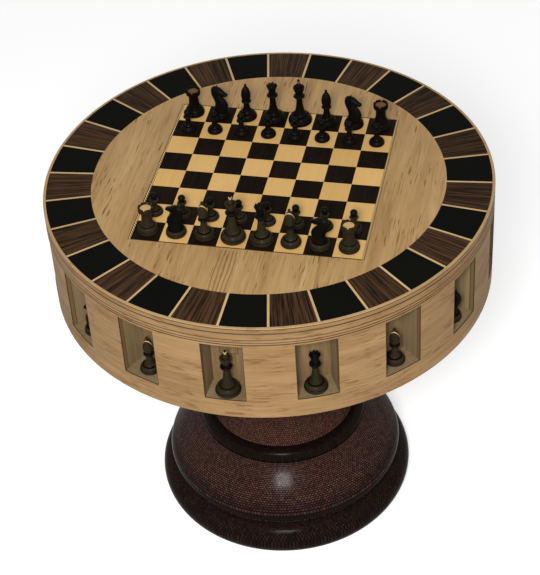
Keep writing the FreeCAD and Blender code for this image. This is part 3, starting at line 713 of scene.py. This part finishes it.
def footProfile(kind):
    # low plinth, groove, then a round moulding that rolls over into a deep crease
    size = menSizes[kind]
    foot, rise, crease = size["foot"], size["rise"], size["crease"]
    deep = (foot - crease) / 8.6
    plinth = bend((foot - 2.6 * deep, 0), (foot, rise * 0.04), (foot, rise * 0.25), 6)
    belly = bend((foot, rise * 0.25), (foot, rise * 0.38), (foot - 0.7 * deep, rise * 0.46), 5)[1:]
    groove = bend((foot - 0.9 * deep, rise * 0.48), (foot - 3.2 * deep, rise * 0.53),
                  (foot - 1.2 * deep, rise * 0.58), 5)
    shoulder = bend((foot - 1.3 * deep, rise * 0.6), (foot - 3 * deep, rise * 0.84),
                    (foot - 5.2 * deep, rise * 0.98), 9)
    roll = bend(shoulder[-1], (foot - 7 * deep, rise * 1.05), (crease, rise * 0.93), 6)[1:]
    return np.concatenate([[(0, 0)], plinth, belly, groove, shoulder, roll])


def stemProfile(kind):
    # from the crease: on the rook a ring and a groove, on the others at once a hollow cone to the neck
    size = menSizes[kind]
    wide, rise, neck, neckAt = size["crease"], size["rise"], size["neck"], size["neckAt"]
    if kind == "rook":
        ring = oval((wide - 1.6, rise + 1.9), 2.0, 1.9, -76, 72, 9)
        return np.concatenate([ring, [(wide - 2.6, rise + 4.2)],
                               bend((wide - 1.2, rise + 5.8), (neck + 0.2, rise + 9), (neck, neckAt), 12)])
    scale = size["foot"] / 22
    lip = bend((wide - 1.3 * scale, rise * 0.92), (wide - 1.5 * scale, rise * 1.04),
               (wide - 0.9 * scale, rise * 1.08), 4)
    reachIn = (neck + 1.5 * scale, rise + (neckAt - rise) * 0.29)
    return np.concatenate([lip, bend((wide - 1.2 * scale, rise * 1.13), reachIn, (neck, neckAt), 16)])


def collarProfile(kind):
    # half an ellipse between the neck below and the head above
    size, half = menSizes[kind], menShape["collarHalf"]
    return oval((size["neck"] - 0.2, size["at"]), size["collar"] - size["neck"] + 0.2, half, -86, 86, 14)


def bodyProfile(kind):
    # all below the head
    return np.concatenate([footProfile(kind), stemProfile(kind), collarProfile(kind)])


def polar(grid):
    # bearing in radians and radius of each point
    return np.arctan2(grid[..., 1], grid[..., 0]), np.hypot(grid[..., 0], grid[..., 1])


def ebonisedAndShaded(grid, kind, low, high):
    # inlay values of plain wood, stained black between two heights, and black as painted shade in the
    # foot's groove and in the crease
    size = menSizes[kind]
    radius, z, rise = polar(grid)[1], grid[..., 2], size["rise"]
    groove = (np.abs(z / rise - 0.53) < 0.052) & (radius > size["crease"] + 1)
    crease = (z > rise * 0.9) & (z < rise * 1.1) & (np.abs(radius - size["crease"]) < 1.3)
    return np.where(((z > low) & (z < high)) | groove | crease, stainedAndShadedWood, plainWood)


def knobSurface(tall, radius, inlay=plainWood):
    # small ball on a short waist, its top at height tall
    bottom = tall - radius * 2.5
    waist = straight((radius * 0.8, bottom), (radius * 0.5, tall - radius * 1.85))
    ball = oval((0, tall - radius), radius, radius, -58, 88, 14)
    return turnedSurface(np.concatenate([[(0, bottom)], waist, ball, [(0, tall)]]), 24, inlay=inlay)


def pawnSurface():
    # a ball over the collar
    size, ball = menSizes["pawn"], menShape["pawnBall"]
    waist = bend((4.7, 30.6), (4.0, 31.4), (4.1, 32.2), 5)
    head = oval((0, size["tall"] - ball), ball, ball, -50, 88, 22)
    outline = np.concatenate([bodyProfile("pawn"), waist, head, [(0, size["tall"])]])
    return turnedSurface(outline, menShape["turns"], inlay=lambda grid: ebonisedAndShaded(grid, "pawn", 30.5, 99))


def mitreProfile():
    # a teardrop, fullest a third of the way up
    return np.concatenate([bend((6.4, 39.8), (6.8, 40.6), (7.4, 42), 4),
                           bend((7.6, 42.6), (9.6, 48), (8.6, 54.4), 16),
                           bend((8.5, 55), (6.9, 64.2), (1.7, 69.4), 20)])


def bishopSurface():
    # the mitre carries a slanting pale cut, whose distance from each point is its inlay value
    def cutDistance(grid):
        x, z = grid[..., 0], grid[..., 2]
        slope = menShape["cutSlope"]
        plane = np.abs(z - menShape["cutLevel"] - slope * x) / math.hypot(1, slope)
        beyond = np.maximum(-2.6 - x, 0) * 3
        onMitre = (z > 43) & (z < 69.2)
        dark = ebonisedAndShaded(grid, "bishop", 33.5, 42.5)
        return np.where(onMitre, np.minimum(plane + beyond, plainWood), dark)
    outline = np.concatenate([bodyProfile("bishop"), mitreProfile(), [(1.5, 69.8)]])
    body = turnedSurface(np.concatenate([outline, [(0, 69.9)]]), 72, inlay=cutDistance)
    return joined([body, knobSurface(menSizes["bishop"]["tall"], 2.5)])


def queenSurface():
    # the rim rises and leans out in points round a low dome
    size, rim, wide = menSizes["queen"], menShape["queenRim"], menShape["queenCrown"]
    columns = menShape["queenPoints"] * 8

    def coronet(grid):
        angles, radius = polar(grid)
        wave = np.abs(np.cos(angles * menShape["queenPoints"] / 2)) ** 1.3
        lift = np.clip((grid[..., 2] - 69) / (rim - 69), 0, 1) ** 2
        share = lift * np.clip((radius - 6) / 3, 0, 1)
        grid[..., 2] = grid[..., 2] - (1 - wave) * 2.2 * share
        grid[..., :2] = grid[..., :2] * (1 - (1 - wave) * 0.10 * share)[..., None]
        return grid
    crown = np.concatenate([
        bend((6.2, 57), (6.2, 65.6), (wide - 1.2, 71.8), 16),
        bend((wide - 0.7, 72.8), (wide, 74.2), (wide, rim), 6),
        bend((wide - 0.7, rim + 0.1), (wide - 1.6, rim - 0.6), (wide - 2.2, rim - 1.8), 5),
        bend((7.2, rim - 2.2), (6.6, 73.6), (6.1, 74.4), 4), oval((0, 74.4), 6, 3.8, 4, 76, 12)])
    outline = np.concatenate([bodyProfile("queen"), crown, [(0, 78.2)]])
    body = turnedSurface(outline, columns, warp=coronet,
                         inlay=lambda grid: ebonisedAndShaded(grid, "queen", 49.5, 99))
    return joined([body, knobSurface(size["tall"], 1.9, inlay=stainedAndShadedWood)])


def kingSurface():
    # flared crown with V notches round its rim and a groove inside it, coloured black as painted shadow,
    # then a dome, a pale flaring cone and a small ball on top
    size, rim, wide = menSizes["king"], menShape["kingRim"], menShape["kingCrown"]
    notches = menShape["kingNotches"]

    def notched(grid):
        angles, radius = polar(grid)
        turns = angles * notches / (2 * math.pi)
        away = np.abs(turns - np.round(turns)) * 2 * math.pi / notches
        depth = np.clip(1 - away / math.radians(11), 0, 1) * menShape["kingNotchDepth"]
        share = np.where((grid[..., 2] > rim - 0.7) & (radius > 6.8), 1.0, 0.0)
        grid[..., 2] = grid[..., 2] - depth * share
        return grid
    crown = np.concatenate([
        bend((6.2, 59.4), (5.9, 61), (6.3, 62.4), 5), bend((6.6, 63.2), (8.6, 67), (wide - 0.4, 72.4), 12),
        softened([(wide - 0.2, 73), (wide, rim - 0.6, 0.5), (wide - 0.6, rim, 0.3), (7.0, rim, 0.3),
                  (6.5, rim - 1.6), (5.9, rim - 1.6)]),
        bend((5.8, rim - 0.8), (5.4, rim + 4.6), (2.8, rim + 7.6), 12)])
    outline = np.concatenate([bodyProfile("king"), crown, [(0, rim + 8)]])

    def stainAndShadeInlay(grid):
        radius = polar(grid)[1]
        # painted shadow: the groove inside the crown takes the black inlay value
        paintedShadeGroove = (grid[..., 2] > rim - 2) & (radius < 6.9) & (grid[..., 2] < rim - 0.3)
        return np.where(paintedShadeGroove, stainedAndShadedWood, ebonisedAndShaded(grid, "king", 51.5, 62))
    body = turnedSurface(outline, 96, warp=notched, inlay=stainAndShadeInlay)
    cone = np.concatenate([[(0, rim + 6.4)], straight((2.5, rim + 6.4), (2.1, rim + 8)),
                           bend((2.0, rim + 8.4), (2.0, 86.4), (3.3, 88.2), 7), [(2.7, 88.9), (0, 89.1)]])
    knob = knobSurface(size["tall"], 2.3, inlay=stainedAndShadedWood)
    return joined([body, turnedSurface(cone, 32, inlay=paleInlay), knob])


def rookSurface():
    # battlements: the rim drops square into each notch, down to the pale floor of the well
    size = menSizes["rook"]
    tall, wide, well = size["tall"], menShape["rookCrown"], menShape["rookWell"]
    floor = tall - menShape["rookWellDepth"]
    half = menShape["rookNotchHalf"]
    sector = 360 / menShape["rookNotches"]
    notch = [-half - 0.3, -half + 0.3, -half / 2, 0, half / 2, half - 0.3, half + 0.3]
    merlon = [15, 22, 30, 38, 45]
    sectors = np.arange(menShape["rookNotches"]) * sector
    angles = np.sort(np.radians(np.add.outer(sectors, np.array(notch + merlon)).ravel()))

    def notched(grid):
        angles, radius = polar(grid)
        turns = np.degrees(angles) / sector
        away = np.abs(turns - np.round(turns)) * sector
        deep = np.where((away < half) & (radius > well - 0.5), floor + 0.05, tall)
        grid[..., 2] = np.minimum(grid[..., 2], deep)
        return grid
    outline = np.concatenate([
        footProfile("rook"), stemProfile("rook"), bend((9.0, 36), (9.6, 41.5), (wide - 0.6, 44), 10),
        softened([(wide - 0.3, 44.2), (wide, 44.8, 0.4), (wide, tall, 0.4), (well, tall, 0.3),
                  (well, floor), (9.9, floor)])])
    top = len(outline)
    outline = np.concatenate([outline, straight((9.8, floor), (2, floor), 4), [(0, floor)]])

    def pale(grid):
        rows = np.arange(grid.shape[0])[:, None]
        return np.where(rows >= top - 1, paleInlay, ebonisedAndShaded(grid, "rook", 98, 99))
    return turnedSurface(outline, angles, warp=notched, inlay=pale)


knightShape = {
    # back of neck and crest, front of chest and jaw, half width; the last ones are the nose from above
    # and below
    "stations": [(-12.6, 11.4, 12.6, 11.4, 10.2), (-11.2, 17.4, 14.4, 17.4, 8.8),
                 (-9.9, 24.4, 15.9, 24.6, 7.5), (-11.6, 31.6, 13.8, 32.2, 6.8),
                 (-15.2, 38.8, 8.2, 39.2, 6.4), (-17.2, 46.4, 4.0, 43.9, 6.1),
                 (-16.4, 54.0, 2.9, 45.6, 6.0), (-12.4, 59.6, 3.9, 46.2, 6.2),
                 (-6.2, 61.5, 5.3, 46.0, 6.3), (0.4, 60.0, 7.6, 45.4, 5.8),
                 (6.0, 57.0, 9.7, 45.2, 4.9), (10.6, 54.2, 12.4, 45.4, 4.3),
                 (14.0, 52.6, 14.8, 46.2, 4.1), (16.0, 51.2, 16.0, 47.6, 3.0)],
    "rings": 72, "columns": 40, "squareness": 0.86, "maneHeight": 1.6, "maneLocks": 11,
    "earRoot": (-7.4, 59.8), "earTip": (-5.8, 64.9), "earAside": 3.1, "eye": (2.4, 54.8), "eyeAside": 5.0,
}


def smoothRows(table, count):
    # Catmull-Rom curve through the rows of a table
    table = np.array(table, float)
    padded = np.concatenate([2 * table[:1] - table[1:2], table, 2 * table[-1:] - table[-2:-1]])
    place = np.linspace(0, len(table) - 1, count)
    index = np.minimum(place.astype(int), len(table) - 2)
    t = (place - index)[:, None]
    a, b, c, d = (padded[index + step] for step in range(4))
    return 0.5 * (2 * b + (c - a) * t + (2 * a - 5 * b + 4 * c - d) * t**2 + (3 * b - a - 3 * c + d) * t**3)


def knightSurface():
    # rings between back and front points: middle + half span * cos(t) + half width * sin(t), squared
    # off a little
    shape = knightShape
    rows = smoothRows(shape["stations"], shape["rings"])
    share = np.linspace(0, 1, shape["rings"])[:, None]
    back, front, wide = rows[:, 0:2], rows[:, 2:4], rows[:, 4:5]
    angles = np.arange(shape["columns"]) * 2 * math.pi / shape["columns"]
    cosine, sine = np.cos(angles), np.sin(angles)
    power = shape["squareness"]
    along = np.sign(cosine) * np.abs(cosine) ** power
    aside = np.sign(sine) * np.abs(sine) ** power
    fade = np.clip((share - 0.12) / 0.1, 0, 1) * np.clip((0.66 - share) / 0.08, 0, 1)
    mane = np.clip(-cosine, 0, 1) ** 5 * fade
    locks = 0.55 + 0.45 * np.cos(share * 2 * math.pi * shape["maneLocks"] / 0.55)
    cheek = np.exp(-(((share - 0.68) / 0.05) ** 2)) * np.clip(cosine, 0, 1) * np.abs(sine) * 1.5
    nostril = np.exp(-(((share - 0.96) / 0.02) ** 2)) * np.abs(sine) ** 3 * 0.7
    half = (front - back) / 2
    span = np.linalg.norm(half, axis=1, keepdims=True)
    middle = (front + back) / 2
    push = along - mane * shape["maneHeight"] * locks / span
    width = (wide + cheek + nostril) * aside * (1 - 0.5 * mane)
    x = middle[:, :1] + half[:, :1] * push
    z = middle[:, 1:] + half[:, 1:] * push
    grid = np.stack([x, width, z], axis=-1)[:, ::-1]
    head = tubeSurface(grid, poles=((0, 0, 11.2), (16.5, 0, 49.4)), inlay=stainedAndShadedWood)
    outline = np.concatenate([footProfile("knight"), [(0, menSizes["knight"]["rise"])]])
    foot = turnedSurface(outline, menShape["turns"], inlay=lambda grid: ebonisedAndShaded(grid, "knight", 98, 99))
    sides = (-1, 1)
    ears, eyes = [earSurface(side) for side in sides], [eyeSurface(side) for side in sides]
    return joined([foot, head] + ears + eyes)


def earSurface(side):
    # a leaf-shaped cone from the poll: radius 2.1 (1 - t)^0.7, flattened front to back
    root, tip = knightShape["earRoot"], knightShape["earTip"]
    t = np.linspace(0, 0.98, 10)[:, None]
    angles = np.arange(16) * 2 * math.pi / 16
    radius = 2.1 * (1 - t) ** 0.7 * (0.75 + 0.8 * t * (1 - t))
    x = root[0] + (tip[0] - root[0]) * t + radius * np.cos(angles) * 0.7
    y = side * (knightShape["earAside"] + 0.5 * t) + radius * np.sin(angles)
    z = root[1] + (tip[1] - root[1]) * t + 0 * angles
    poles = ((root[0], side * knightShape["earAside"], root[1] - 0.5),
             (tip[0], side * (knightShape["earAside"] + 0.5), tip[1]))
    return tubeSurface(np.stack([x, y, z], axis=-1), poles=poles, inlay=stainedAndShadedWood)


def eyeSurface(side):
    # a small flattened ball set into the side of the head
    place = knightShape["eye"]
    outline = np.concatenate([[(0, -1.2)], oval((0, 0), 1.5, 1.2, -80, 80, 9), [(0, 1.2)]])
    ball = turnedSurface(outline, 16, inlay=stainedAndShadedWood)
    points = ball["points"]
    lying = np.stack([points[:, 0], points[:, 2] * -side, points[:, 1] * side], axis=1)
    return {**ball, "points": lying + (place[0], side * knightShape["eyeAside"], place[1])}


menWoods = {
    "near": {"ground": (54, 47, 31), "deep": (20, 17, 10), "light": (205, 172, 122), "dark": (170, 134, 88),
             "roughness": 0.3, "gloss": 0.03},
    "far": {"ground": (20, 14, 10), "deep": (7, 5, 4), "light": (124, 88, 58), "dark": (92, 62, 40),
            "roughness": 0.34, "gloss": 0.03},
}
# black of the stain, also the painted shade in the men's grooves and creases
blackStainAndShade = (13, 12, 9)


def menMaterial(name, wood):
    # dark polished wood with faint upright grain, pale for inlay values near 0, black for high ones: a
    # stain, and painted shade in grooves and creases
    material, root = startMaterial(name)
    x, y, z = objectPlace(root)
    grain = root.noise(root.vector(x * 420.0, y * 420.0, z * 40.0), 3.0)
    cloud = root.noise(root.vector(x * 60.0, y * 60.0, z * 30.0), 2.0)
    shade = (grain * 0.7 + cloud * 0.6 - 0.15).held()
    inlay = root.make("ShaderNodeAttribute", output=2, attribute_name="inlay")
    dark = shade.blend(tone(*wood["ground"]), tone(*wood["deep"]))
    dark = inlay.rise(10.2, 10.8).blend(dark, tone(*blackStainAndShade))
    pale = shade.blend(tone(*wood["light"]), tone(*wood["dark"]))
    amount = 1.0 - inlay.rise(menShape["cutHalf"], menShape["cutHalf"] + 0.15)
    rough = wood["roughness"] + (cloud - 0.5) * 0.12 + amount * 0.12
    return finishMaterial(material, root, amount.blend(dark, pale), rough, grain * -1.0, 0.00006,
                          Specular_IOR_Level=wood["gloss"])


setting = {"squareSide": 50, "top": 730, "lean": 20, "nicheBack": 354, "nicheFloor": 567.6, "nicheGap": 1.5}
backRank = ["rook", "knight", "bishop", "king", "queen", "bishop", "knight", "rook"]


def makeMen():
    # one surface for each kind of man, placed on the squares of both sets and in the niches
    patterns = {"pawn": pawnSurface(), "rook": rookSurface(), "knight": knightSurface(),
                "bishop": bishopSurface(), "queen": queenSurface(), "king": kingSurface()}
    near, far = menMaterial("nearSetWood", menWoods["near"]), menMaterial("farSetWood", menWoods["far"])
    side = setting["squareSide"]
    farRank = backRank[:3] + ["queen", "king"] + backRank[5:]
    plan = [("near", backRank, side * -3.5, side * -2.5, 0, near, "olive_black_men"),
            ("far", farRank, side * 3.5, side * 2.5, 180, far, "black_men")]
    for team, rank, rankY, pawnY, setTurn, material, slotName in plan:
        for column, kind in enumerate(rank):
            x = side * (column - 3.5)
            for name, y in ((kind, rankY), ("pawn", pawnY)):
                surface = placed(patterns[name], x, y, setting["top"], facing(name, setTurn))
                node = f"{team}_{name}_{column + 1}"
                makePiece(f"{team}Man_{name}_{column + 1}", surface, material, node, node)
    makeNicheMen(patterns, near)


def facing(kind, setTurn):
    # the near set turns its cuts to the front and its knights' heads to the left
    return setTurn + (180 - setting["lean"] if kind == "knight" else -90)


def makeNicheMen(patterns, material):
    # the same rank of men stands round the drum twice, in front turned like the near set
    groups = {}
    for number in range(16):
        kind = backRank[number % 8]
        bearing = 22.5 * (number - 3) - 90
        radius = setting["nicheBack"] + menSizes[kind]["foot"] + setting["nicheGap"]
        x, y = radius * math.cos(math.radians(bearing)), radius * math.sin(math.radians(bearing))
        turn = facing(kind, 180 * (number // 8))
        groups.setdefault(kind, []).append(placed(patterns[kind], x, y, setting["nicheFloor"], turn))
    for kind, surfaces in groups.items():
        makePiece(f"nicheMen_{kind}s", joined(surfaces), material, "table", f"niche_{kind}s")


steel = {"light": (172, 174, 176), "dark": (120, 122, 126)}


def steelMaterial():
    # zinc plating with a soft spangle
    material, root = startMaterial("zincSteel")
    x, y, z = objectPlace(root)
    spangle = root.noise(root.vector(x * 160.0, y * 160.0, z * 160.0), 3.0)
    colour = spangle.blend(tone(*steel["light"]), tone(*steel["dark"]))
    rough = 0.32 + (spangle - 0.5) * 0.2
    return finishMaterial(material, root, colour, rough, spangle, 0.00003, Metallic=1.0)


def dressNodes():
    # a material for each node that keeps its CAD shape
    veneer = drumMaterial()
    plain = simpleWood("coreBoard", woods["plainBoard"], grainAlongY)
    metal = steelMaterial()
    finishes = {
        "centre_panel": panelMaterial(),
        "squares_light": squareWood("lightSquareVeneer", woods["lightSquare"]),
        "squares_dark": squareWood("darkSquareVeneer", woods["darkSquare"]),
        "stringing": stringMaterial(),
        "ring_black": segmentWood("blackSegmentVeneer", woods["blackSegment"]),
        "ring_brown": segmentWood("brownSegmentVeneer", woods["brownSegment"]),
        "ring_dividers": segmentWood("paleDividers", woods["paleStrip"]),
        "niche_back_band": nicheBackMaterial(),
        "top_core": plain, "drum_floor": plain, "tie_rod": metal, "tie_fasteners": metal,
    }
    bands = ("lower_bead", "upper_bead", "wide_band", "edge_band")
    for name in bands + ("drum_lower_ring", "drum_upper_ring", "niche_posts"):
        finishes[name] = veneer
    for name, material in finishes.items():
        slots = nodes[name].material_slots
        if not slots:
            nodes[name].data.materials.append(material)
        for slot in slots:
            slot.material = material


stage = {"ambient": 0.37, "floorTone": 0.8, "floorLift": 0.5,
         "key": {"power": 110.0, "size": 0.72, "azimuth": 8, "elevation": 39.5, "distance": 3.4}}
view = {"azimuth": 14.03, "elevation": 40.8585, "roll": -3.9264, "distance": 3.0881, "aside": 0.00316,
        "up": -0.19527, "lens": 109.06}


def boardDirection(azimuth, elevation):
    # unit vector towards a viewer: azimuth 0 is at -Y, and grows towards +X
    a, e = math.radians(azimuth), math.radians(elevation)
    return Vector((math.sin(a) * math.cos(e), -math.cos(a) * math.cos(e), math.sin(e)))


def makeStage():
    # a pale floor, a world that lights at the ambient strength but looks white, and one large lamp
    bpy.ops.mesh.primitive_plane_add(size=14)
    floor = bpy.context.object
    floor.name = "floor"
    material, root = startMaterial("floorPaint")
    path = root.make("ShaderNodeLightPath")
    level = stage["floorTone"]
    lit = root.make("ShaderNodeBsdfDiffuse", (level, level, level, 1.0))
    glow = root.make("ShaderNodeEmission", (1.0, 1.0, 1.0, 1.0), path * stage["floorLift"])
    root.make("ShaderNodeOutputMaterial", root.make("ShaderNodeAddShader", lit, glow))
    floor.data.materials.append(material)
    world = bpy.data.worlds.new("studio")
    bpy.context.scene.world = world
    world.use_nodes = True
    world.node_tree.nodes.clear()
    root = Wire(world.node_tree)
    rays = ("Is Camera Ray", "Is Glossy Ray", "Is Transmission Ray")
    seen = [root.make("ShaderNodeLightPath", output=ray) for ray in rays]
    white = seen[0].higher(seen[1]).higher(seen[2])
    strength = white * (1.0 - stage["ambient"]) + stage["ambient"]
    root.make("ShaderNodeOutputWorld", root.make("ShaderNodeBackground", (1.0, 1.0, 1.0, 1.0), strength))
    key = stage["key"]
    light = bpy.data.lights.new("key", "AREA")
    light.energy, light.size = key["power"], key["size"]
    lamp = bpy.data.objects.new("key", light)
    away = boardDirection(key["azimuth"], key["elevation"])
    lamp.location = Vector((0, 0, 0.5)) + away * key["distance"]
    lamp.rotation_euler = away.to_track_quat("Z", "Y").to_euler()
    bpy.context.scene.collection.objects.link(lamp)
    bpy.context.scene.view_settings.view_transform = "Standard"


def makeCamera():
    # looks against the direction of the view, rolled about it and shifted in its own plane
    away = boardDirection(view["azimuth"], view["elevation"])
    a = math.radians(view["azimuth"])
    right = Vector((math.cos(a), math.sin(a), 0))
    up = away.cross(right)
    roll = math.radians(view["roll"])
    across = right * math.cos(roll) + up * math.sin(roll)
    upward = up * math.cos(roll) - right * math.sin(roll)
    place = Vector((0, 0, 0.73)) + away * view["distance"] + across * view["aside"] + upward * view["up"]
    data = bpy.data.cameras.new("view")
    data.lens, data.sensor_width, data.clip_end = view["lens"], 36.0, 50.0
    camera = bpy.data.objects.new("view", data)
    turn = Matrix((across, upward, away)).transposed()
    camera.matrix_world = Matrix.Translation(place) @ turn.to_4x4()
    bpy.context.scene.collection.objects.link(camera)
    bpy.context.scene.camera = camera


dressNodes()
print("veneers and fittings done")
makePedestal()
print("pedestal done")
makeMen()
print("men done")
makeStage()
makeCamera()
print("stage and camera done")
